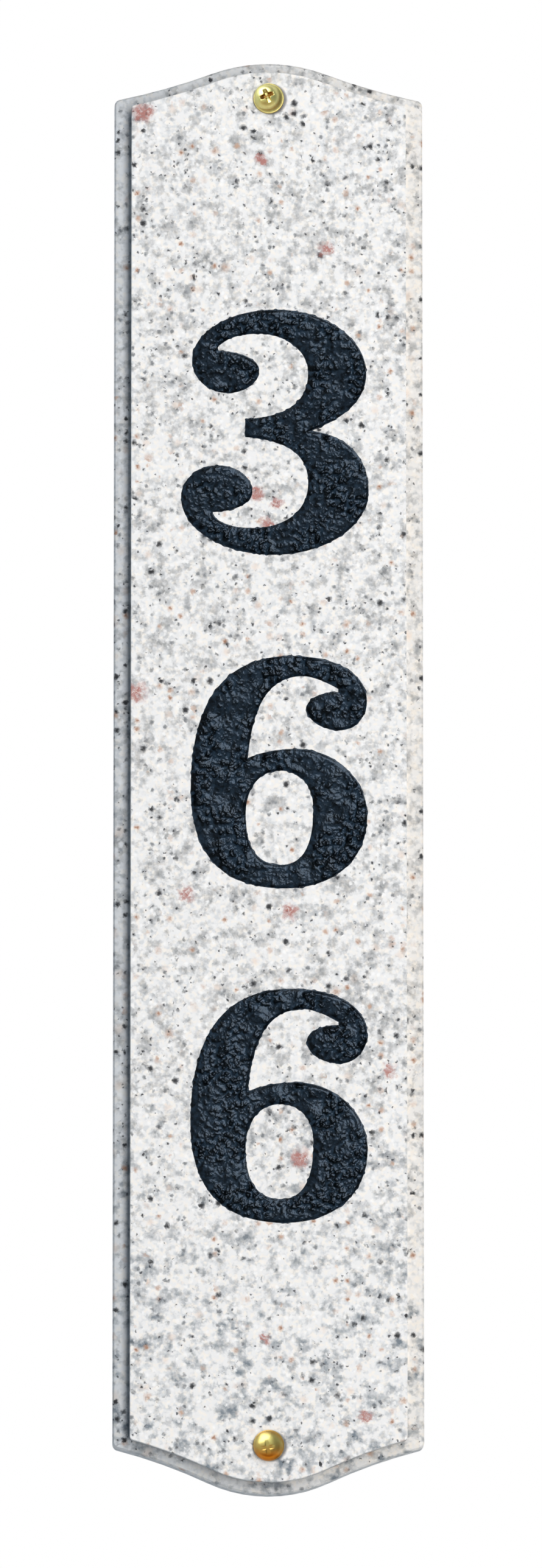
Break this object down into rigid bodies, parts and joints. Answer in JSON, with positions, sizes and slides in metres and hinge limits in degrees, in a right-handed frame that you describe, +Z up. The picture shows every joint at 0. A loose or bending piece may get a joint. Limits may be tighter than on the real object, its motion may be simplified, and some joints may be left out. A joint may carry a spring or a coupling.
{
  "type": "house number plaque",
  "caption": "Upright granite house number plaque with ogee ends, a raised polished panel, carved and painted numerals and brass wall screws.",
  "frame": {"origin": "middle of the flat back of the slab, on the wall", "axes": "+Z up the plaque, +Y back into the wall, so the numerals face -Y"},
  "size_m": [0.0952, 0.041, 0.4444],
  "materials": {
    "granite": "polished",
    "numeral_paint": "gloss",
    "brass": "polished"
  },
  "bodies": {
    "root": {"granite_plaque": "granite", "upper_numeral_paint": "numeral_paint", "middle_numeral_paint": "numeral_paint", "lower_numeral_paint": "numeral_paint", "top_screw": "brass", "bottom_screw": "brass"}
  },
  "joints": []
}
